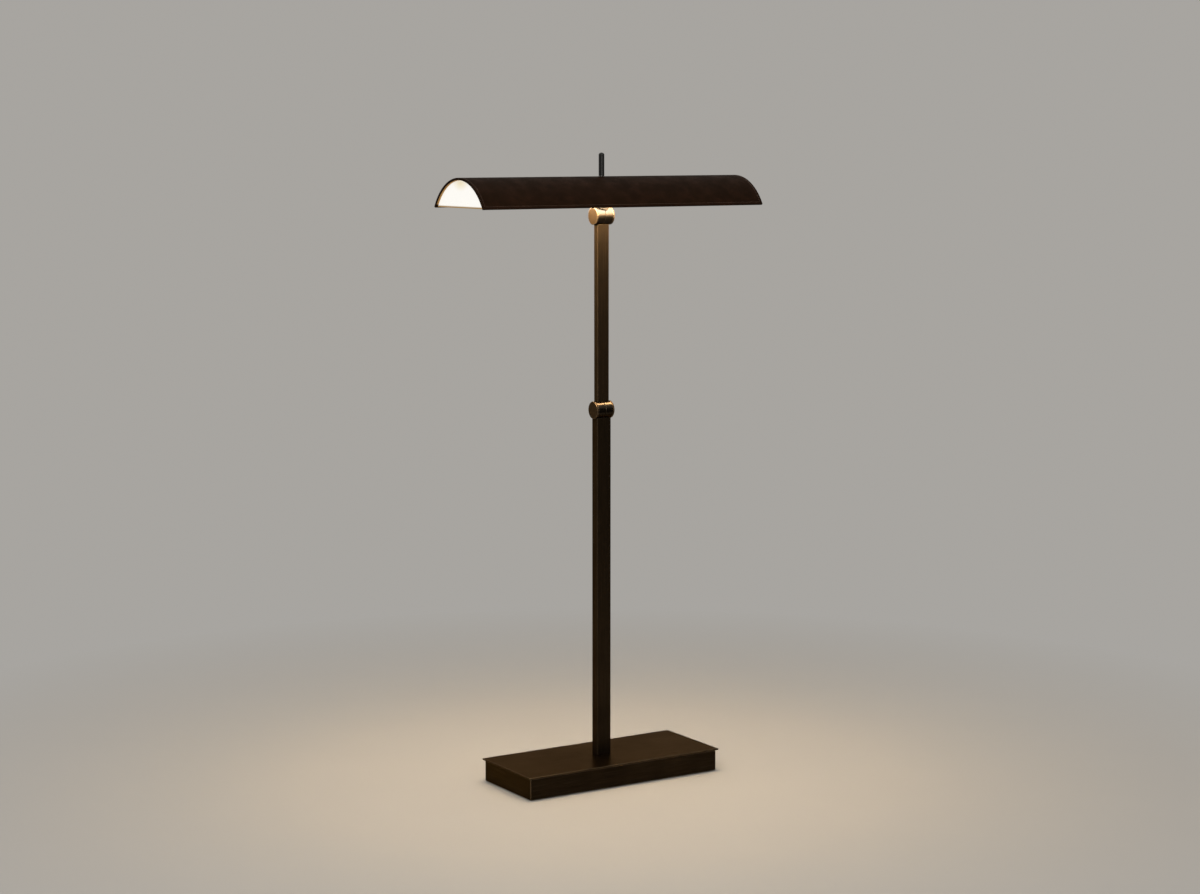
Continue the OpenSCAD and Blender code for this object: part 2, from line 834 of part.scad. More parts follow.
module neck_tube() {
    color(brass) difference() {
        union() {
            translate([0, 0, tilt_z]) cylinder(h = bar_low - tilt_z, r = neck_r);
            translate([0, 0, bar_low - flange_t]) cylinder(h = flange_t, d = flange_d);
        }
        translate([0, 0, tilt_z - eps]) cylinder(h = bar_low - tilt_z + 2 * eps, r = neck_r - neck_t);
        at_tilt() rod_x(0, neck_d, barrel_r + fit);
        at_tilt() rod_x(-neck_d, half_x, barrel_r + neck_gap);
        neck_screw_places() translate([0, 0, -eps])
            cylinder(h = flange_t + 2 * eps, r = small_screw_d / 2 + hole_room);
    }
}

// Places of the neck's screws, on the underside of its flange
module neck_screw_places() {
    for (a = [45 : 90 : 315])
        rotate([0, 0, a]) translate([flange_screws_d / 2, 0, bar_low - flange_t]) children();
}

module neck_screws() {
    color(steel) neck_screw_places() screw_up(small_screw_d, small_screw_l, small_head_d);
}

module neck_lead() {
    color(black) lead([[wire_x, 0, tilt_z + wire_end], [wire_x, 0, bar_low - dimmer_h]]);
}

module light_bar() {
    color(steel) difference() {
        translate([-bar_l / 2, -bar_w / 2, bar_low]) cube([bar_l, bar_w, bar_t]);
        translate([0, 0, bar_low - eps]) cylinder(h = bar_t + 2 * eps, r = bushing_d / 2 + hole_room);
        corners(shell_stud_x, fix_y)
            translate([0, 0, bar_low - eps]) cylinder(h = bar_t + 2 * eps, r = shell_stud_d / 2 + hole_room);
        neck_screw_places() cylinder(h = small_screw_l + fit, r = small_screw_d / 2 + fit);
    }
}

module led_boards() {
    color(opal) for (side = [-1, 1]) {
        translate([side * (board_x + board_l / 2) - board_l / 2, -board_w / 2, bar_low - board_t])
            cube([board_l, board_w, board_t]);
        for (i = [0 : chips])
            translate([side * (board_x + chip_w / 2 + i * chip_pitch) - chip_w / 2, -chip_w / 2,
                       bar_low - board_t - chip_h])
                cube([chip_w, chip_w, chip_h + eps]);
    }
}

module shade_shell() {
    color(opal) difference() {
        arc_band(
            shell_out_r, shell_in_r, shade_angle - edge_angle - fit_angle, shade_l - 2 * (leather_t + fit)
        );
        translate([0, 0, bar_top]) cylinder(h = shade_rise, r = shaft_hole_r);
    }
}

module shell_studs() {
    color(steel) corners(shell_stud_x, fix_y)
        translate([0, 0, bar_low - shell_nut_h])
            cylinder(h = shell_stud_top - bar_low + shell_nut_h, d = shell_stud_d);
}

module shell_nuts() {
    color(steel) corners(shell_stud_x, fix_y)
        translate([0, 0, bar_low - shell_nut_h]) hex_nut(shell_nut_af, shell_nut_h, shell_stud_d / 2 + fit);
}

module shade_leather() {
    color(leather_brown) difference() {
        arc_band(shade_r, lining_r, shade_angle, shade_l);
        arc_band(shell_out_r + fit, shell_in_r - fit, shade_angle - edge_angle, shade_l - 2 * leather_t);
        arc_band(shell_in_r, lining_r - leather_t, shade_angle - turn_angle, shade_l - 2 * turn_in);
        translate([0, 0, bar_top]) cylinder(h = shade_rise, r = shaft_hole_r);
    }
}

module opal_tray() {
    color(opal) difference() {
        arc_segment(tray_r, tray_z, tray_l);
        arc_segment(shade_r, tray_z + tray_t, tray_l - 2 * tray_t);
        translate([0, 0, tray_z - eps]) cylinder(h = tray_t + 2 * eps, r = neck_r + tray_gap);
        corners(standoff_x, fix_y)
            translate([0, 0, tray_z - eps]) cylinder(h = tray_t + 2 * eps, r = small_screw_d / 2 + hole_room);
    }
}

module tray_standoffs() {
    top = tray_z + tray_t;
    color(steel) corners(standoff_x, fix_y) difference() {
        translate([0, 0, top]) cylinder(h = bar_low - top, d = standoff_d);
        translate([0, 0, top - eps]) cylinder(h = small_screw_l, r = small_screw_d / 2 + fit);
    }
}

module tray_screws() {
    color(steel) corners(standoff_x, fix_y) translate([0, 0, tray_z])
        screw_up(small_screw_d, small_screw_l, small_head_d);
}

module dimmer_module() {
    color(black) difference() {
        union() {
            translate([0, 0, bar_low - dimmer_h]) cylinder(h = dimmer_h, d = dimmer_d);
            translate([0, 0, bar_low - eps]) cylinder(h = bushing_top - bar_low + eps, d = bushing_d);
        }
        translate([0, 0, bar_low - shaft_seat]) cylinder(h = shade_rise, r = shaft_d / 2 + run_fit);
    }
}

module dimmer_nut() {
    color(steel) translate([0, 0, bar_top]) hex_nut(bushing_nut_af, bushing_nut_h, bushing_d / 2 + fit);
}

module dimmer_shaft() {
    low = bar_low - shaft_seat + rub_gap;
    color(steel) translate([0, 0, low]) cylinder(h = stick_z + stick_bore_l - low, d = shaft_d);
}

module dimmer_stick() {
    dome_r = (pow(stick_d / 2, 2) + pow(stick_dome, 2)) / (2 * stick_dome);
    color(black) translate([0, 0, stick_z]) difference() {
        union() {
            cylinder(h = stick_l - stick_dome, d = stick_d);
            intersection() {
                cylinder(h = stick_l, d = stick_d);
                translate([0, 0, stick_l - dome_r]) sphere(dome_r);
            }
        }
        translate([0, 0, -eps]) cylinder(h = stick_bore_l + eps, r = shaft_d / 2 + run_fit);
    }
}

base_top_plate();
base_skirt();
base_ballast();
base_bottom_cover();
base_foot_pads();
base_cover_screws();
cord_grommet();
power_supply();
post_foot_block();
post_washer();
post_nut();
lower_post_tube();
post_grub_screws();
post_lead();
elbow_lower_half();
elbow_lower_cap();
elbow_pivot_bolt();
elbow_lock_nut();
elbow_disc_spring();
elbow_friction_washer();
elbow_upper_half();
elbow_upper_cap();
upper_post_tube();
arm_grub_screws();
arm_lead();
tilt_lower_half();
tilt_lower_cap();
tilt_pivot_bolt();
tilt_lock_nut();
tilt_disc_spring();
tilt_friction_washer();
tilt_upper_half();
tilt_upper_cap();
neck_tube();
neck_screws();
neck_lead();
light_bar();
led_boards();
shade_shell();
shell_studs();
shell_nuts();
shade_leather();
opal_tray();
tray_standoffs();
tray_screws();
dimmer_module();
dimmer_nut();
dimmer_shaft();
dimmer_stick();
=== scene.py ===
"""Looks of the floor lamp: bronze stand, leather-covered shade, lit opal tray and black dimmer stick."""

import json
import math

import bmesh
import bpy
from mathutils import Matrix, Vector

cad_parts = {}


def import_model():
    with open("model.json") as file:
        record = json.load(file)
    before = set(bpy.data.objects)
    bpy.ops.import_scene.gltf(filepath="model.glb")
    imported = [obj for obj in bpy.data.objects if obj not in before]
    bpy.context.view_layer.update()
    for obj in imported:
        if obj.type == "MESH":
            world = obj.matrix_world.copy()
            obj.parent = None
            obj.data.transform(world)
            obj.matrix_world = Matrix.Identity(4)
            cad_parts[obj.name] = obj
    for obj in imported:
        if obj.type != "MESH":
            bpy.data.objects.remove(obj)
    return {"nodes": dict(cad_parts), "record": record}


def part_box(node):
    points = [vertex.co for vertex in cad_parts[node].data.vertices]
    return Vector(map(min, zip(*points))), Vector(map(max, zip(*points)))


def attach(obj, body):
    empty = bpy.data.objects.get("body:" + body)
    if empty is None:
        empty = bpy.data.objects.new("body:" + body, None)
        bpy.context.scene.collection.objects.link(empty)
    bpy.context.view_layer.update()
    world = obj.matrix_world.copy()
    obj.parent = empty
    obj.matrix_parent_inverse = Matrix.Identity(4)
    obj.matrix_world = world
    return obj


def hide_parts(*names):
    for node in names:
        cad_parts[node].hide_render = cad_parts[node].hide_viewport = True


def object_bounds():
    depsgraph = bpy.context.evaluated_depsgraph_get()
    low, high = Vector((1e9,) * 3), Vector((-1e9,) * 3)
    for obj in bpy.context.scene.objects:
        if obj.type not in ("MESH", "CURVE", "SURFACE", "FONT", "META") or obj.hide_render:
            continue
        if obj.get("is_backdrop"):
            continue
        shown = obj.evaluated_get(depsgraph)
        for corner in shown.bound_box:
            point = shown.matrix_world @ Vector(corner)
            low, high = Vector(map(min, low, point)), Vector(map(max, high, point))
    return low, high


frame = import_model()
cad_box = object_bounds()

# Camera, fitted to the photograph's 1200 x 894 frame (pixels, metres and degrees)
IMAGE_WIDTH_PX = 1200
FOCAL_PX = 2468.4
SENSOR_MM = 36.0
CAMERA_AIM = Vector((0.0008, 0.0068, 0.6785))
CAMERA_YAW = 32.196
CAMERA_PITCH = 7.238
CAMERA_DISTANCE = 4.978

# Stage: a round pale floor with faint darker traces, which fades into a pale background (metres)
FLOOR_RADIUS = 14.0
FLOOR_SIDES = 96
FADE_FROM = 0.6
FADE_TO = 1.8
FLOOR = (0.45, 0.43, 0.40, 1.0)
BACKGROUND = (0.39, 0.375, 0.352, 1.0)
FLOOR_TRACE = 0.97
UNDER_BASE_INSET = 0.012

# Dark screen to the front right, seen by reflections alone (metres and degrees round the post)
SCREEN_RADIUS = 1.25
SCREEN_HEIGHT = 1.3
SCREEN_FROM = -92.0
SCREEN_TO = -15.0
SCREEN_PANELS = 16

# Leather on the shade (metres)
SHADE_RISE = 0.0575
LEATHER = 0.0014
SHELL = 0.0016
FIT = 0.0001
TURN_IN = 0.012
HEM = 0.0052
CREASE_DEPTH = 0.0004
CREASE_WIDTH = 0.0008
RIM_ROUND = 0.0009
RIM_SEGMENTS = 3
SKIN_STEP = 0.0055
HOLE_RADIUS = 0.0036
HOLE_SQUARE = 0.85 * HOLE_RADIUS
HOLE_CLEAR = 1.9 * HOLE_RADIUS

# Where the tan of the turned-in ends fades out, as distances from the shade's end (metres)
TAN_FADE = (0.0028, 0.0012)

# Grid lines across the hem's crease, in widths of the crease
CREASE_STEPS = (2.0, 1.2, 0.6, 0.0, -0.6, -1.2, -2.0)

# Angles between faces at an edge that is rounded, and at one that is shaded sharp (degrees)
RIM_ANGLE = 60.0
SHARP_ANGLE = 40.0

# Rounding that edges show, on most of the lamp and on the crisper base (metres)
EDGE_ROUND = 0.0015
CRISP_EDGE = 0.0008

# Bronze finishes: lowest and highest roughness
TURNED = (0.20, 0.27)
RUBBED = (0.36, 0.44)
SATIN = (0.26, 0.38)
BRUSHED = (0.45, 0.58)

# Patina of the bronze: its dark and its warm colour, on most of the lamp, and on the barrels and the neck
BROWN = ((0.030, 0.0205, 0.0122), (0.046, 0.0310, 0.0180))
PALE = ((0.028, 0.0222, 0.0163), (0.043, 0.0336, 0.0243))

# Colour of painted shade on the bronze, and of bare bronze, which is rubbed often; along edges bare bronze
# is also a painted highlight
PAINTED_SHADE_COLOUR = (0.0105, 0.0071, 0.0042, 1.0)
BARE = (0.85, 0.62, 0.38, 1.0)

# Heights where painted shade starts and where it is full, from the plate's top and the knuckles' axes
# (metres): it darkens the plate's edge face and the barrels' lower halves
PLATE_PAINTED_SHADE = (-0.0005, -0.0009)
ELBOW_PAINTED_SHADE = (0.003, -0.009)
TILT_PAINTED_SHADE = (0.0, -0.013)

# How often the lines of a brush and of a lathe change per metre, across them
BRUSH_LINES = 2600.0
LATHE_LINES = 3200.0

# How often brush lines change per metre along their run: along x, along z and level round a piece
RUN_X = 14.0
RUN_Z = 9.0
RUN_LEVEL = 12.0

# How far the rounded normal agrees with the true one where edge wear starts and where it is full; on the
# bronze it is also a painted highlight
WORN_EDGE = (0.985, 0.86)

# Colour of bronze at a glancing view, on most of the lamp and on the skirt, whose patina is painted darker
# as shade
GLANCE = (0.595, 0.480, 0.396, 1.0)
SKIRT_GLANCE = (0.65, 0.565, 0.48, 1.0)

# Light of the opal tray: strength of its lower panel, and the brightness of its end panels
TRAY_STRENGTH = 32.0
END_GLOW = 0.77

# Opal tray (metres): whiter light round the neck, faded border below, warm spot under the crown
NECK_LIGHT = (0.022, 0.060)
BORDER = 0.009
SPOT_DROP = 0.0065
SPOT_REACH = 0.015

# Power of the border's fade, and the share of the distance sideways that counts for the warm spot
BORDER_POWER = 4.0
SPOT_SQUASH = 0.45

# Opal tray (metres): heights of its amber lip and its underside, and the underside's distance from the ends
LIP = (0.0016, 0.0040)
UNDERSIDE = (0.0002, 0.0004)
OFF_ENDS = (0.0006, 0.0004)

# Hem stitches (metres)
STITCH_PITCH = 0.0042
STITCH_LENGTH = 0.0034
STITCH_RADIUS = 0.0003
STITCH_SIDES = 6
STITCH_STATIONS = 5
STITCH_SINK = 0.0004

# Shares of a stitch's radius: how high its middle runs above the crease, and how much thinner its ends are
STITCH_RAISE = 0.6
STITCH_TAPER = 0.45

# Shade sizes that follow from the CAD solid
skin_low, skin_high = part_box("shade_leather")
SHADE_LENGTH = skin_high.x - skin_low.x
SHADE_HALF_WIDTH = (skin_high.y - skin_low.y) / 2
SHADE_RADIUS = (SHADE_HALF_WIDTH ** 2 + SHADE_RISE ** 2) / (2 * SHADE_RISE)
SHADE_AXIS_Z = skin_high.z - SHADE_RADIUS
HALF_LENGTH = SHADE_LENGTH / 2
HALF_ARC = SHADE_RADIUS * math.asin(SHADE_HALF_WIDTH / SHADE_RADIUS)

# Knuckle axes, at mid-height of the pivot bolts
ELBOW_Z = sum(corner.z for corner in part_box("elbow_pivot_bolt")) / 2
TILT_Z = sum(corner.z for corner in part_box("tilt_pivot_bolt")) / 2


class Paint:
    """A material in the making: its principled surface, and short names for its shader nodes."""

    def __init__(self, name):
        self.material = bpy.data.materials.new(name)
        self.material.use_nodes = True
        self.tree = self.material.node_tree
        self.surface = self.tree.nodes["Principled BSDF"]
        self.place = self.node("TexCoord").outputs["Object"]

    def finish(self, **inputs):
        """Sets the surface's inputs, with _ for a space in their names, and returns the material."""
        for name, value in inputs.items():
            self.put(value, self.surface.inputs[name.replace("_", " ")])
        return self.material

    def node(self, kind, inputs=None, **settings):
        """A shader node with its settings and inputs, where an input is a number, a colour or a socket."""
        made = self.tree.nodes.new("ShaderNode" + kind)
        for name, value in settings.items():
            setattr(made, name, value)
        for name, value in (inputs or {}).items():
            self.put(value, made.inputs[name])
        return made

    def put(self, value, socket):
        """Links a socket to an input, or sets the input to a number or a colour."""
        if isinstance(value, bpy.types.NodeSocket):
            self.tree.links.new(value, socket)
        else:
            socket.default_value = value

    def calc(self, operation, a, b=0.0):
        return self.node("Math", {0: a, 1: b}, operation=operation).outputs[0]

    def stretched(self, scale, vector=None):
        """A vector, or else the place on the object, with each axis scaled by its own number."""
        inputs = {0: vector or self.place, 1: scale}
        return self.node("VectorMath", inputs, operation="MULTIPLY").outputs[0]

    def axes(self, vector=None):
        """The three parts of a place."""
        return self.node("SeparateXYZ", {0: vector or self.place}).outputs

    def joined(self, x, y, z=0.0):
        return self.node("CombineXYZ", {0: x, 1: y, 2: z}).outputs[0]

    def radius(self, first, second, offset=0.0):
        """Distance from the axis that runs along the third axis, offset along the second."""
        a = self.axes()[first]
        b = self.calc("SUBTRACT", self.axes()[second], offset)
        squares = self.calc("ADD", self.calc("MULTIPLY", a, a), self.calc("MULTIPLY", b, b))
        return self.calc("SQRT", squares)

    def noise(self, scale, detail=2.0, vector=None, roughness=0.5):
        inputs = {"Vector": vector or self.place, "Scale": scale, "Detail": detail, "Roughness": roughness}
        return self.node("TexNoise", inputs).outputs[0]

    def cells(self, scale, feature="F1", vector=None):
        inputs = {"Vector": vector or self.place, "Scale": scale}
        return self.node("TexVoronoi", inputs, feature=feature).outputs["Distance"]

    def between(self, value, low, high, start=0.0, end=1.0):
        """A value taken from low..high to start..end, held at both ends."""
        inputs = {"Value": value, "From Min": low, "From Max": high, "To Min": start, "To Max": end}
        return self.node("MapRange", inputs).outputs[0]

    def mixed(self, share, a, b):
        """Colour a, turning into colour b as share goes from 0 to 1."""
        return self.node("Mix", {0: share, 6: a, 7: b}, data_type="RGBA").outputs[2]

    def bump(self, height, depth, strength=1.0, normal=None):
        inputs = {"Height": height, "Distance": depth, "Strength": strength}
        if normal:
            inputs["Normal"] = normal
        return self.node("Bump", inputs).outputs[0]

    def rounded(self, radius):
        """The surface's normal, as if its edges were rounded."""
        return self.node("Bevel", {"Radius": radius}, samples=4).outputs[0]

    def edges(self, rounded):
        """1 along an edge that the rounded normal softens, 0 away from it."""
        true = self.node("NewGeometry").outputs["Normal"]
        same = self.node("VectorMath", {0: rounded, 1: true}, operation="DOT_PRODUCT").outputs["Value"]
        return self.between(same, WORN_EDGE[0], WORN_EDGE[1])


def grey(level):
    return (level, level, level, 1.0)


# Materials


def bronze(
    name,
    scratches,
    roughness,
    wear_and_highlight,
    painted_light=1.0,
    glance=GLANCE,
    wax=0.0,
    patina=BROWN,
    edge=EDGE_ROUND,
    painted_shade=None,
):
    """Bronze with a dark patina, bare at its edges by wear and by a painted highlight.

    scratches places the brush lines and painted_shade says where shade is painted darker, both from a
    Paint.
    roughness is the lowest and the highest, painted_light paints the patina lighter or darker as lit and
    shaded copies of one bronze, wear_and_highlight is how bright the edges are, and edge is the rounding
    that edges show.
    """
    paint = Paint(name)
    lines = paint.noise(1.0, detail=4.0, vector=scratches(paint), roughness=0.65)
    clouds = paint.noise(11.0, detail=4.0)
    rounded = paint.rounded(edge)
    edge_share = paint.edges(rounded)
    smooth, rough = roughness
    # painted_light makes lit and shaded copies of one patina: lighter where a piece stands in the lamp's
    # light, darker where it is in shade
    dark, warm = (tuple(painted_light * part for part in colour) + (1.0,) for colour in patina)
    cloudy = paint.mixed(paint.between(clouds, 0.35, 0.66), dark, warm)
    # Painted shade: the patina darkens towards the lower heights given by painted_shade
    if painted_shade:
        cloudy = paint.mixed(painted_shade(paint), cloudy, PAINTED_SHADE_COLOUR)
    brushed = paint.mixed(paint.between(lines, 0.52, 0.74, 0.0, 0.06), cloudy, BARE)
    # Bare bronze along the edges: partly wear, partly a painted highlight
    return paint.finish(
        Base_Color=paint.mixed(paint.calc("MULTIPLY", edge_share, wear_and_highlight), brushed, BARE),
        Metallic=1.0,
        Roughness=paint.between(paint.calc("ADD", lines, clouds), 0.7, 1.35, rough, smooth),
        Specular_Tint=glance,
        Coat_Weight=wax,
        Coat_Roughness=0.2,
        Normal=paint.bump(lines, depth=0.00002, strength=0.5, normal=rounded),
    )


def lines_along_x(paint):
    return paint.stretched((RUN_X, BRUSH_LINES, BRUSH_LINES))


def lines_along_z(paint):
    return paint.stretched((BRUSH_LINES, BRUSH_LINES, RUN_Z))


def lines_level(paint):
    return paint.stretched((RUN_LEVEL, RUN_LEVEL, BRUSH_LINES))


def lines_turned(axis_z):
    """Lathe lines round a knuckle's axis: they change along the axis and with the distance from it."""

    def scratches(paint):
        x, y, z = paint.axes()
        turn = paint.calc("ARCTAN2", y, paint.calc("SUBTRACT", z, axis_z))
        turned = paint.joined(x, paint.radius(1, 2, axis_z), turn)
        return paint.stretched((LATHE_LINES, LATHE_LINES, 1.0), turned)

    return scratches


def shaded_below(level, heights):
    """Painted shade that darkens the bronze from the first to the second of two heights above a level."""
    start, full = (level + height for height in heights)
    return lambda paint: paint.between(paint.axes()[2], start, full)


def cast_iron():
    paint = Paint("cast_iron")
    sand = paint.noise(900.0, detail=3.0)
    patches = paint.noise(45.0, detail=3.0)
    colour = paint.mixed(patches, (0.10, 0.10, 0.105, 1.0), (0.20, 0.185, 0.17, 1.0))
    return paint.finish(
        Base_Color=colour,
        Metallic=0.6,
        Roughness=paint.between(sand, 0.3, 0.7, 0.55, 0.8),
        Normal=paint.bump(sand, depth=0.0003),
    )


def black_coating():
    paint = Paint("black_coating")
    peel = paint.noise(1400.0, detail=2.0)
    dust = paint.noise(60.0, detail=5.0)
    colour = paint.mixed(paint.between(dust, 0.4, 0.75), grey(0.022), (0.045, 0.043, 0.040, 1.0))
    return paint.finish(
        Base_Color=colour,
        Roughness=paint.between(peel, 0.3, 0.7, 0.42, 0.58),
        Normal=paint.bump(peel, depth=0.00006),
    )


def zinc():
    paint = Paint("zinc")
    spangle = paint.cells(900.0)
    haze = paint.noise(130.0, detail=3.0)
    colour = paint.mixed(haze, (0.58, 0.60, 0.63, 1.0), (0.66, 0.63, 0.56, 1.0))
    return paint.finish(
        Base_Color=colour,
        Metallic=1.0,
        Roughness=paint.between(spangle, 0.0, 0.8, 0.24, 0.42),
        Normal=paint.bump(spangle, depth=0.00003, strength=0.5),
    )


def rubber():
    paint = Paint("rubber")
    speck = paint.noise(2200.0, detail=2.0)
    dust = paint.noise(150.0, detail=4.0)
    colour = paint.mixed(paint.between(dust, 0.45, 0.8), grey(0.018), (0.050, 0.047, 0.043, 1.0))
    return paint.finish(
        Base_Color=colour,
        Roughness=paint.between(speck, 0.3, 0.7, 0.68, 0.88),
        Normal=paint.bump(speck, depth=0.00008),
    )


def lead_jacket():
    paint = Paint("lead_jacket")
    flow = paint.noise(1.0, detail=2.0, vector=paint.stretched((900.0, 900.0, 40.0)))
    colour = paint.mixed(flow, (0.030, 0.027, 0.024, 1.0), (0.060, 0.054, 0.047, 1.0))
    return paint.finish(
        Base_Color=colour,
        Roughness=paint.between(flow, 0.3, 0.7, 0.5, 0.66),
        Normal=paint.bump(flow, depth=0.00003),
    )


def moulded_white():
    paint = Paint("moulded_white")
    spark = paint.noise(1800.0, detail=2.0)
    tone = paint.noise(35.0, detail=3.0)
    colour = paint.mixed(tone, (0.66, 0.66, 0.63, 1.0), (0.74, 0.73, 0.69, 1.0))
    return paint.finish(
        Base_Color=colour,
        Roughness=paint.between(spark, 0.3, 0.7, 0.42, 0.6),
        Normal=paint.bump(spark, depth=0.00005),
    )


def fibre():
    paint = Paint("fibre")
    hairs = paint.noise(1.0, detail=4.0, vector=paint.stretched((500.0, 1900.0, 700.0)))
    colour = paint.mixed(hairs, (0.034, 0.029, 0.025, 1.0), (0.085, 0.072, 0.058, 1.0))
    return paint.finish(
        Base_Color=colour,
        Roughness=paint.between(hairs, 0.3, 0.7, 0.6, 0.8),
        Normal=paint.bump(hairs, depth=0.00006),
    )


def aluminium():
    paint = Paint("aluminium")
    lines = paint.noise(1.0, detail=3.0, vector=paint.stretched((8.0, 1700.0, 1700.0)))
    colour = paint.mixed(lines, (0.62, 0.63, 0.65, 1.0), (0.74, 0.74, 0.75, 1.0))
    return paint.finish(
        Base_Color=colour,
        Metallic=1.0,
        Roughness=paint.between(lines, 0.3, 0.7, 0.30, 0.44),
        Normal=paint.bump(lines, depth=0.00002, strength=0.6),
    )


def white_powder_coat():
    paint = Paint("white_powder_coat")
    peel = paint.noise(1100.0, detail=2.0)
    tone = paint.noise(20.0, detail=2.0)
    colour = paint.mixed(tone, (0.76, 0.75, 0.72, 1.0), (0.81, 0.80, 0.77, 1.0))
    return paint.finish(
        Base_Color=colour,
        Roughness=paint.between(peel, 0.3, 0.7, 0.4, 0.55),
        Normal=paint.bump(peel, depth=0.00006),
    )


def leather():
    """Dark brown leather with a fine grain, and tan where it is turned in at the shade's ends."""
    paint = Paint("waxed_leather")
    clouds = paint.noise(34.0, detail=5.0, roughness=0.6)
    pores = paint.noise(2600.0, detail=2.0)
    pebbles = grain(paint)
    flesh = paint.mixed(pores, (0.45, 0.250, 0.084, 1.0), (0.55, 0.325, 0.120, 1.0))
    height = paint.calc("ADD", pebbles, paint.calc("MULTIPLY", pores, 0.35))
    return paint.finish(
        Base_Color=paint.mixed(turned_in_end(paint), leather_colour(paint, clouds, pebbles), flesh),
        Roughness=paint.between(clouds, 0.35, 0.68, 0.60, 0.46),
        Specular_IOR_Level=0.02,
        Normal=paint.bump(height, depth=0.00007, strength=0.6),
    )


def grain(paint):
    """1 on the leather's pebbles, 0 in the furrows between them."""
    stray = {0: paint.place, 1: paint.noise(260.0, detail=2.0)}
    wander = paint.node("VectorMath", stray, operation="ADD").outputs[0]
    return paint.between(paint.cells(720.0, "DISTANCE_TO_EDGE", wander), 0.0, 0.30)


def leather_colour(paint, clouds, pebbles):
    """Brown that drifts slowly, with reddish clouds, a little pull-up at the edges and dark furrows."""
    deep = (0.0160, 0.0071, 0.0028, 1.0)
    brown = (0.0225, 0.0098, 0.0038, 1.0)
    reddish = (0.046, 0.0175, 0.0078, 1.0)
    pull_up = (0.105, 0.058, 0.034, 1.0)
    furrow = (0.0100, 0.0046, 0.0022, 1.0)
    drift = paint.noise(16.0, detail=3.0)
    edge_share = paint.edges(paint.rounded(EDGE_ROUND))
    base = paint.mixed(paint.between(drift, 0.36, 0.64), deep, brown)
    cloudy = paint.mixed(paint.between(clouds, 0.44, 0.72, 0.0, 0.8), base, reddish)
    pulled = paint.mixed(paint.calc("MULTIPLY", edge_share, 0.45), cloudy, pull_up)
    return paint.mixed(pebbles, furrow, pulled)


def turned_in_end(paint):
    """1 on the inner face of the leather at the shade's ends, away from its rim and its foot."""
    x, _, z = paint.axes()
    along = paint.calc("ABSOLUTE", x)
    radius = paint.radius(1, 2, SHADE_AXIS_Z)
    inside = paint.between(radius, SHADE_RADIUS - 3 * LEATHER, SHADE_RADIUS - 2.5 * LEATHER, 1.0, 0.0)
    near_end = paint.between(along, HALF_LENGTH - TURN_IN - LEATHER, HALF_LENGTH - TURN_IN)
    off_rim = paint.between(along, HALF_LENGTH - TAN_FADE[0], HALF_LENGTH - TAN_FADE[1], 1.0, 0.0)
    at_end = paint.calc("MULTIPLY", near_end, off_rim)
    foot = skin_low.z + TURN_IN / 2
    above_foot = paint.between(z, foot, foot + LEATHER)
    return paint.calc("MULTIPLY", paint.calc("MULTIPLY", inside, at_end), above_foot)


def thread():
    """Waxed thread: its twist shows as slanting ridges."""
    paint = Paint("waxed_thread")
    twist = paint.node("TexWave", {"Vector": paint.place, "Scale": 620.0, "Distortion": 1.5}).outputs["Fac"]
    tone = paint.noise(300.0, detail=2.0)
    colour = paint.mixed(tone, (0.070, 0.038, 0.023, 1.0), (0.120, 0.068, 0.041, 1.0))
    return paint.finish(Base_Color=colour, Roughness=0.55, Normal=paint.bump(twist, depth=0.00006))


def opal():
    """Lit opal acrylic: its underside is brightest, and an amber lip runs round its foot."""
    paint = Paint("lit_opal")
    low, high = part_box("opal_tray")
    x, _, z = paint.axes()
    haze = paint.noise(60.0, detail=3.0)
    satin = paint.noise(1500.0, detail=2.0)
    lip = paint.between(z, low.z + LIP[0], low.z + LIP[1])
    low_face = paint.between(z, low.z + UNDERSIDE[0], low.z + UNDERSIDE[1], 1.0, 0.0)
    along = paint.calc("ABSOLUTE", x)
    off_ends = paint.between(along, high.x - OFF_ENDS[0], high.x - OFF_ENDS[1], 1.0, 0.0)
    underside = paint.calc("MULTIPLY", low_face, off_ends)
    acrylic = paint.mixed(haze, (0.30, 0.295, 0.28, 1.0), (0.34, 0.335, 0.32, 1.0))
    return paint.finish(
        Base_Color=paint.mixed(lip, (0.15, 0.085, 0.028, 1.0), acrylic),
        Roughness=paint.between(satin, 0.3, 0.7, 0.38, 0.5),
        Emission_Color=paint.mixed(underside, end_light(paint, haze, lip, high), panel_light(paint, high)),
        Emission_Strength=TRAY_STRENGTH,
        Normal=paint.bump(satin, depth=0.00003, strength=0.4),
    )


def panel_light(paint, high):
    """Light of the tray's lower panel: warm, whiter round the neck, and faded along its border."""
    x, y, _ = paint.axes()
    across = paint.calc("ABSOLUTE", y)
    middle = paint.between(across, 0.0, high.y, 1.0, 0.0)
    by_neck = paint.between(paint.radius(0, 1), NECK_LIGHT[0], NECK_LIGHT[1], 1.0, 0.0)
    far = paint.mixed(middle, (0.94, 0.68, 0.40, 1.0), (1.0, 0.76, 0.47, 1.0))
    full = paint.mixed(by_neck, far, (1.3, 1.22, 1.08, 1.0))
    from_side = paint.calc("SUBTRACT", high.y, across)
    from_end = paint.calc("SUBTRACT", high.x, paint.calc("ABSOLUTE", x))
    inset = paint.between(paint.calc("MINIMUM", from_side, from_end), 0.0, BORDER)
    return paint.mixed(paint.calc("POWER", inset, BORDER_POWER), (0.026, 0.0175, 0.010, 1.0), full)


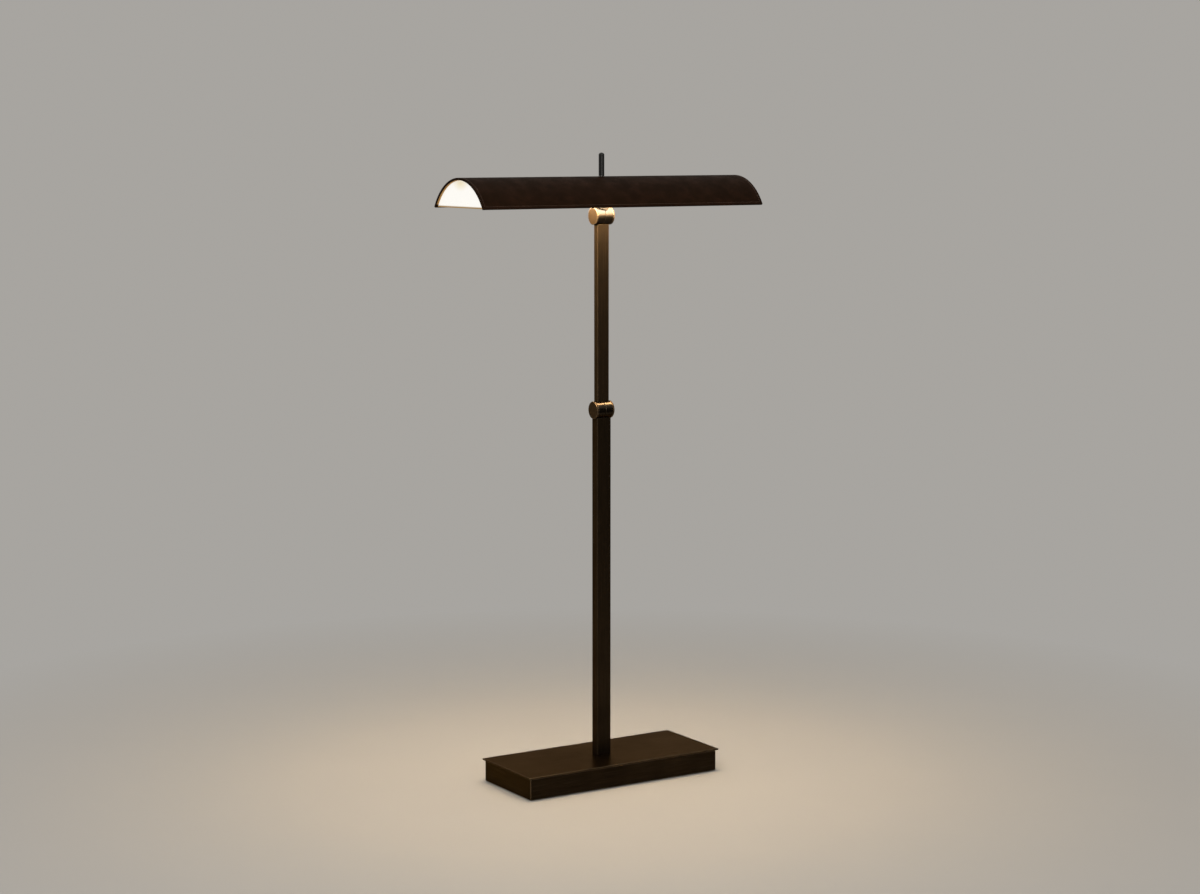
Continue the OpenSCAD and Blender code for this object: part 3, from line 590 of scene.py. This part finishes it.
def end_light(paint, haze, lip, high):
    """Light of the tray's ends: white, warm under the crown and amber at the lip."""
    _, y, z = paint.axes()
    below_crown = paint.calc("SUBTRACT", z, high.z - SPOT_DROP)
    squat = paint.stretched((SPOT_SQUASH, 1.0, 0.0), paint.joined(y, below_crown))
    from_spot = paint.node("VectorMath", {0: squat}, operation="LENGTH").outputs["Value"]
    spot = paint.between(from_spot, 0.0, SPOT_REACH, 1.0, 0.0)
    white = paint.mixed(haze, end_glow(1.0, 0.985, 0.95), end_glow(1.0, 0.98, 0.93))
    warm = paint.mixed(spot, white, end_glow(0.84, 0.72, 0.46))
    return paint.mixed(lip, end_glow(0.28, 0.165, 0.045), warm)


def end_glow(red, green, blue):
    """A colour that the tray's strength brings to the brightness of its ends."""
    glow = END_GLOW / TRAY_STRENGTH
    return (red * glow, green * glow, blue * glow, 1.0)


def black_gloss():
    """Polished black with a faint haze of handling."""
    paint = Paint("black_gloss")
    haze = paint.noise(70.0, detail=4.0)
    hairlines = paint.noise(1.0, detail=3.0, vector=paint.stretched((900.0, 900.0, 60.0)))
    colour = paint.mixed(haze, grey(0.004), (0.0085, 0.0080, 0.0075, 1.0))
    rough = paint.between(paint.calc("ADD", haze, hairlines), 0.7, 1.4, 0.09, 0.24)
    return paint.finish(
        Base_Color=colour,
        Roughness=rough,
        Specular_IOR_Level=0.34,
        Normal=paint.bump(hairlines, depth=0.00001, strength=0.3),
    )


def own_bronzes():
    """The bronze of each node whose brush lines, edge wear and highlight, painted light or painted shade
    are its own.
    """
    # painted_light paints lit copies near the lamp (neck, barrels, caps) and shaded ones lower down (post,
    # skirt); painted_shade darkens the plate's edge face and the elbow barrel's lower half
    plate_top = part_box("base_top_plate")[1].z
    plate = bronze(
        "bronze_plate",
        lines_along_x,
        SATIN,
        wear_and_highlight=0.65,
        edge=CRISP_EDGE,
        painted_shade=shaded_below(plate_top, PLATE_PAINTED_SHADE),
    )
    # The skirt: patina painted darker as shade, edges painted bright as a highlight
    skirt = bronze(
        "bronze_skirt", lines_level, SATIN, wear_and_highlight=0.9, painted_light=0.38, glance=SKIRT_GLANCE, edge=CRISP_EDGE
    )
    elbow_barrel = bronze(
        "bronze_elbow_barrel",
        lines_turned(ELBOW_Z),
        TURNED,
        wear_and_highlight=0.05,
        painted_light=1.5,
        patina=PALE,
        painted_shade=shaded_below(ELBOW_Z, ELBOW_PAINTED_SHADE),
    )
    elbow_cap = bronze("bronze_elbow_cap", lines_turned(ELBOW_Z), BRUSHED, wear_and_highlight=0.3, painted_light=1.2)
    tilt_cap = bronze("bronze_tilt_cap", lines_turned(TILT_Z), BRUSHED, wear_and_highlight=0.3, painted_light=1.2)
    return {
        "base_top_plate": plate,
        "base_skirt": skirt,
        "lower_post_tube": bronze("bronze_post", lines_along_z, BRUSHED, wear_and_highlight=0.12, painted_light=0.78),
        "neck_tube": bronze("bronze_neck", lines_level, BRUSHED, wear_and_highlight=0.25, painted_light=1.8, patina=PALE),
        "elbow_lower_half": elbow_barrel,
        "elbow_upper_half": elbow_barrel,
        "elbow_lower_cap": elbow_cap,
        "elbow_upper_cap": elbow_cap,
        "tilt_lower_cap": tilt_cap,
        "tilt_upper_cap": tilt_cap,
    }


def slot_materials():
    """The material of each of the record's slots, apart from the leather's."""
    # The tilt barrel's lower half is painted darker as shade
    tilt_barrel = bronze(
        "bronze_tilt_barrel",
        lines_turned(TILT_Z),
        RUBBED,
        wear_and_highlight=0.05,
        wax=0.1,
        patina=PALE,
        painted_shade=shaded_below(TILT_Z, TILT_PAINTED_SHADE),
    )
    return {
        # The arm's corners get a painted highlight from wear_and_highlight
        "bronze_sheet": bronze("bronze_arm", lines_along_z, BRUSHED, wear_and_highlight=0.3),
        "bronze_barrel": tilt_barrel,
        "cast_ballast": cast_iron(),
        "dark_steel": black_coating(),
        "bright_steel": zinc(),
        "foot_rubber": rubber(),
        "lead_jacket": lead_jacket(),
        "white_case": moulded_white(),
        "washer_fibre": fibre(),
        "raw_aluminium": aluminium(),
        "white_shell": white_powder_coat(),
        "opal_acrylic": opal(),
        "black_gloss": black_gloss(),
    }


def dress_cad_nodes():
    """Gives every CAD node its own bronze or the material of its slot, apart from the leather's node."""
    by_node = own_bronzes()
    by_slot = slot_materials()
    for part in frame["record"]["subparts"]:
        name = part["node"]
        material = by_node.get(name) or by_slot.get(part["material_slot"])
        if material:
            slots = frame["nodes"][name].data.materials
            slots.clear()
            slots.append(material)


# Leather of the shade


def on_shade(x, arc, depth):
    """A point of the shade: x along it, arc round it from the crown, and depth below its surface."""
    turn = arc / SHADE_RADIUS
    radius = SHADE_RADIUS - depth
    return Vector((x, radius * math.sin(turn), SHADE_AXIS_Z + radius * math.cos(turn)))


def to_edge(x, arc):
    """Distance to the nearest edge of the leather."""
    return min(HALF_LENGTH - abs(x), HALF_ARC - abs(arc))


def crease(x, arc):
    """Depth of the pressed hem line at a point."""
    return CREASE_DEPTH * math.exp(-(((to_edge(x, arc) - HEM) / CREASE_WIDTH) ** 2))


def grid_lines(half):
    """Grid lines from -half to half: close at the hem, on the folds and round the shaft's hole."""
    near = [0.0, HOLE_SQUARE / 2, HOLE_SQUARE, HOLE_CLEAR]
    crease_lines = [HEM + step * CREASE_WIDTH for step in CREASE_STEPS]
    hem = [half - inset for inset in [TURN_IN, *crease_lines, LEATHER, 0.0]]
    count = round((hem[0] - near[-1]) / SKIN_STEP)
    middle = [near[-1] + (hem[0] - near[-1]) * step / count for step in range(1, count)]
    right = near + middle + hem
    return [-value for value in reversed(right[1:])] + right


def side_corners(cell, axis, side):
    """The four lattice corners of one side of a cell."""
    first, second = [n for n in range(3) if n != axis]
    for a, b in ((0, 0), (1, 0), (1, 1), (0, 1)):
        corner = list(cell)
        corner[axis] += side
        corner[first] += a
        corner[second] += b
        yield tuple(corner)


def leather_mesh():
    """The sheet, wrapped round the shell's edges: cells of a bent lattice, with a slot for the shell."""
    xs = grid_lines(HALF_LENGTH)
    arcs = grid_lines(HALF_ARC)
    slot = LEATHER + SHELL + 2 * FIT
    depths = [0.0, LEATHER, slot, slot + LEATHER]
    cells = (len(xs) - 1, len(arcs) - 1, len(depths) - 1)

    def filled(cell):
        if any(n < 0 or n >= count for n, count in zip(cell, cells)):
            return False
        i, j, layer = cell
        x = (xs[i] + xs[i + 1]) / 2
        arc = (arcs[j] + arcs[j + 1]) / 2
        if layer == 0:
            return max(abs(x), abs(arc)) > HOLE_SQUARE
        return to_edge(x, arc) < (LEATHER, TURN_IN)[layer - 1]

    def point(corner):
        x, arc, depth = xs[corner[0]], arcs[corner[1]], depths[corner[2]]
        reach = max(abs(x), abs(arc))
        if math.isclose(reach, HOLE_SQUARE, rel_tol=1e-6):
            scale = HOLE_RADIUS / math.hypot(x, arc)
            return on_shade(x * scale, arc * scale, depth)
        return on_shade(x, arc, depth + (crease(x, arc) if corner[2] == 0 else 0.0))

    mesh = bmesh.new()
    corners = {}
    for i in range(cells[0]):
        for j in range(cells[1]):
            for layer in range(cells[2]):
                add_cell_sides(mesh, corners, (i, j, layer), filled, point)
    bmesh.ops.recalc_face_normals(mesh, faces=mesh.faces)
    return mesh


def add_cell_sides(mesh, corners, cell, filled, point):
    """Adds the sides of a filled cell that face an empty one."""
    if not filled(cell):
        return
    for axis in range(3):
        for side in (0, 1):
            beyond = list(cell)
            beyond[axis] += 2 * side - 1
            if filled(tuple(beyond)):
                continue
            keys = list(side_corners(cell, axis, side))
            for key in keys:
                if key not in corners:
                    corners[key] = mesh.verts.new(point(key))
            mesh.faces.new([corners[key] for key in keys])


def round_rim(mesh):
    """Rounds the outer edges of the sheet."""
    tiny = 1e-6

    def on_rim(vertex):
        off_axis = Vector((vertex.co.y, vertex.co.z - SHADE_AXIS_Z))
        arc = SHADE_RADIUS * math.atan2(off_axis.x, off_axis.y)
        return to_edge(vertex.co.x, arc) < tiny

    rim = [
        edge
        for edge in mesh.edges
        if all(on_rim(vertex) for vertex in edge.verts) and edge.calc_face_angle() > math.radians(RIM_ANGLE)
    ]
    bmesh.ops.bevel(
        mesh,
        geom=rim,
        offset=RIM_ROUND,
        segments=RIM_SEGMENTS,
        profile=0.5,
        affect="EDGES",
        clamp_overlap=True,
    )


def to_object(name, mesh, material):
    """A smooth-shaded object from a mesh, with its hard corners kept."""
    data = bpy.data.meshes.new(name)
    mesh.to_mesh(data)
    mesh.free()
    data.shade_smooth()
    data.set_sharp_from_angle(angle=math.radians(SHARP_ANGLE))
    data.materials.append(material)
    made = bpy.data.objects.new(name, data)
    bpy.context.scene.collection.objects.link(made)
    return made


def shade_skin():
    mesh = leather_mesh()
    round_rim(mesh)
    skin = to_object("shade_leather_skin", mesh, leather())
    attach(skin, "head")
    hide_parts("shade_leather")


def add_stitch(mesh, middle, along):
    """One stitch, a thread that rises out of the leather and dips back in.

    along is (1, 0) for a stitch along x and (0, 1) for one along the arc.
    """
    rings = []
    for station in range(STITCH_STATIONS):
        share = 2 * station / (STITCH_STATIONS - 1) - 1
        step = share * STITCH_LENGTH / 2
        sink = CREASE_DEPTH - STITCH_RAISE * STITCH_RADIUS + STITCH_SINK * share ** 4
        radius = STITCH_RADIUS * (1 - STITCH_TAPER * share ** 4)
        ring = []
        for side in range(STITCH_SIDES):
            turn = 2 * math.pi * side / STITCH_SIDES
            across = radius * math.cos(turn)
            x = middle[0] + along[0] * step + along[1] * across
            arc = middle[1] + along[1] * step + along[0] * across
            ring.append(mesh.verts.new(on_shade(x, arc, sink + radius * math.sin(turn))))
        rings.append(ring)
    for first, second in zip(rings, rings[1:]):
        for side in range(STITCH_SIDES):
            after = (side + 1) % STITCH_SIDES
            mesh.faces.new([first[side], first[after], second[after], second[side]])
    mesh.faces.new(rings[0])
    mesh.faces.new(rings[-1])


def stitch_places(half):
    """Middles of the stitches along a hem that runs from -half to half."""
    count = int(2 * (half - HEM) / STITCH_PITCH)
    return [(step - (count - 1) / 2) * STITCH_PITCH for step in range(count)]


def hem_stitches():
    mesh = bmesh.new()
    for side in (-1, 1):
        for x in stitch_places(HALF_LENGTH):
            add_stitch(mesh, (x, side * (HALF_ARC - HEM)), (1, 0))
        for arc in stitch_places(HALF_ARC):
            add_stitch(mesh, (side * (HALF_LENGTH - HEM), arc), (0, 1))
    bmesh.ops.recalc_face_normals(mesh, faces=mesh.faces)
    stitches = to_object("hem_stitches", mesh, thread())
    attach(stitches, "head")


# Camera, stage and light


def camera():
    yaw = math.radians(CAMERA_YAW)
    pitch = math.radians(CAMERA_PITCH)
    ahead = Vector((math.sin(yaw) * math.cos(pitch), math.cos(yaw) * math.cos(pitch), -math.sin(pitch)))
    right = Vector((math.cos(yaw), -math.sin(yaw), 0.0))
    data = bpy.data.cameras.new("camera")
    data.sensor_width = SENSOR_MM
    data.lens = SENSOR_MM * FOCAL_PX / IMAGE_WIDTH_PX
    made = bpy.data.objects.new("camera", data)
    bpy.context.scene.collection.objects.link(made)
    turn = Matrix((right, right.cross(ahead), -ahead)).transposed().to_4x4()
    made.matrix_world = Matrix.Translation(CAMERA_AIM - CAMERA_DISTANCE * ahead) @ turn
    bpy.context.scene.camera = made


def shows_background(paint):
    """1 for rays from the camera, from gloss and through glass."""
    path = paint.node("LightPath").outputs
    reflected = paint.calc("MAXIMUM", path["Is Glossy Ray"], path["Is Transmission Ray"])
    return paint.calc("MAXIMUM", path["Is Camera Ray"], reflected)


def under_base(paint):
    """1 on the floor inside the base's outline, 0 outside it."""
    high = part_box("base_skirt")[1]
    x, y, _ = paint.axes()
    in_length = paint.calc("LESS_THAN", paint.calc("ABSOLUTE", x), high.x - UNDER_BASE_INSET)
    in_width = paint.calc("LESS_THAN", paint.calc("ABSOLUTE", y), high.y - UNDER_BASE_INSET)
    return paint.calc("MULTIPLY", in_length, in_width)


def floor_material():
    """Pale matt floor that fades into the background and is clear from below and under the base."""
    paint = Paint("floor")
    away = paint.between(paint.radius(0, 1), FADE_FROM, FADE_TO)
    trace = paint.noise(5.0, detail=3.0)
    darker = tuple(FLOOR_TRACE * part for part in FLOOR[:3]) + (1.0,)
    colour = paint.mixed(trace, darker, FLOOR)
    material = paint.finish(Base_Color=colour, Roughness=0.7, Specular_IOR_Level=0.25)
    far = paint.node("Emission", {"Color": BACKGROUND}).outputs[0]
    fade = paint.calc("MULTIPLY", away, shows_background(paint))
    faded = paint.node("MixShader", {0: fade, 1: paint.surface.outputs[0], 2: far}).outputs[0]
    clear = paint.node("BsdfTransparent").outputs[0]
    from_below = paint.node("NewGeometry").outputs["Backfacing"]
    seen_through = paint.calc("MAXIMUM", from_below, under_base(paint))
    whole = paint.node("MixShader", {0: seen_through, 1: faded, 2: clear}).outputs[0]
    paint.put(whole, paint.tree.nodes["Material Output"].inputs["Surface"])
    return material


def floor():
    mesh = bmesh.new()
    bmesh.ops.create_circle(mesh, cap_ends=True, segments=FLOOR_SIDES, radius=FLOOR_RADIUS)
    made = to_object("floor", mesh, floor_material())
    made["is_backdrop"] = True


def screen():
    """A dark cloth on a curved frame, as a studio hangs one to keep the front of shiny metal dark."""
    mesh = bmesh.new()
    posts = []
    for step in range(SCREEN_PANELS + 1):
        turn = math.radians(SCREEN_FROM + (SCREEN_TO - SCREEN_FROM) * step / SCREEN_PANELS)
        foot = Vector((SCREEN_RADIUS * math.cos(turn), SCREEN_RADIUS * math.sin(turn), 0.0))
        posts.append([mesh.verts.new(foot), mesh.verts.new(foot + Vector((0.0, 0.0, SCREEN_HEIGHT)))])
    for first, second in zip(posts, posts[1:]):
        mesh.faces.new([first[0], second[0], second[1], first[1]])
    paint = Paint("screen_cloth")
    folds = paint.noise(6.0, detail=3.0)
    cloth = paint.finish(Base_Color=paint.mixed(folds, grey(0.05), grey(0.09)), Roughness=0.9)
    made = to_object("screen", mesh, cloth)
    made.visible_camera = False
    made.visible_diffuse = False
    made.visible_shadow = False
    made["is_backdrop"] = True


def world():
    made = bpy.data.worlds.new("studio")
    made.use_nodes = True
    made.node_tree.nodes["Background"].inputs["Color"].default_value = BACKGROUND
    bpy.context.scene.world = made


def soft_light(name, place, aim, size, power, colour):
    data = bpy.data.lights.new(name, "AREA")
    data.shape = "DISK"
    data.size = size
    data.energy = power
    data.color = colour
    made = bpy.data.objects.new(name, data)
    made.location = place
    made.rotation_mode = "QUATERNION"
    made.rotation_quaternion = (Vector(aim) - Vector(place)).to_track_quat("-Z", "Y")
    made.visible_camera = False
    bpy.context.scene.collection.objects.link(made)


def lights():
    warm = (1.0, 0.965, 0.92)
    white = (1.0, 0.97, 0.93)
    soft_light("key", (-2.3, -1.5, 2.7), aim=(0.0, 0.0, 0.7), size=1.8, power=30.0, colour=warm)
    soft_light("fill", (-0.73, -3.42, 1.6), aim=(0.0, 0.0, 0.9), size=1.6, power=18.0, colour=white)
    soft_light("overhead", (0.0, 0.0, 5.0), aim=(0.0, 0.0, 0.0), size=8.0, power=80.0, colour=white)


def write_sizes():
    boxes = {"cad": cad_box, "visual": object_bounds()}
    {name: [list(corner) for corner in box] for name, box in boxes.items()}


bpy.context.scene.view_settings.view_transform = "Standard"
camera()
world()
lights()
floor()
screen()
dress_cad_nodes()
shade_skin()
hem_stitches()
write_sizes()
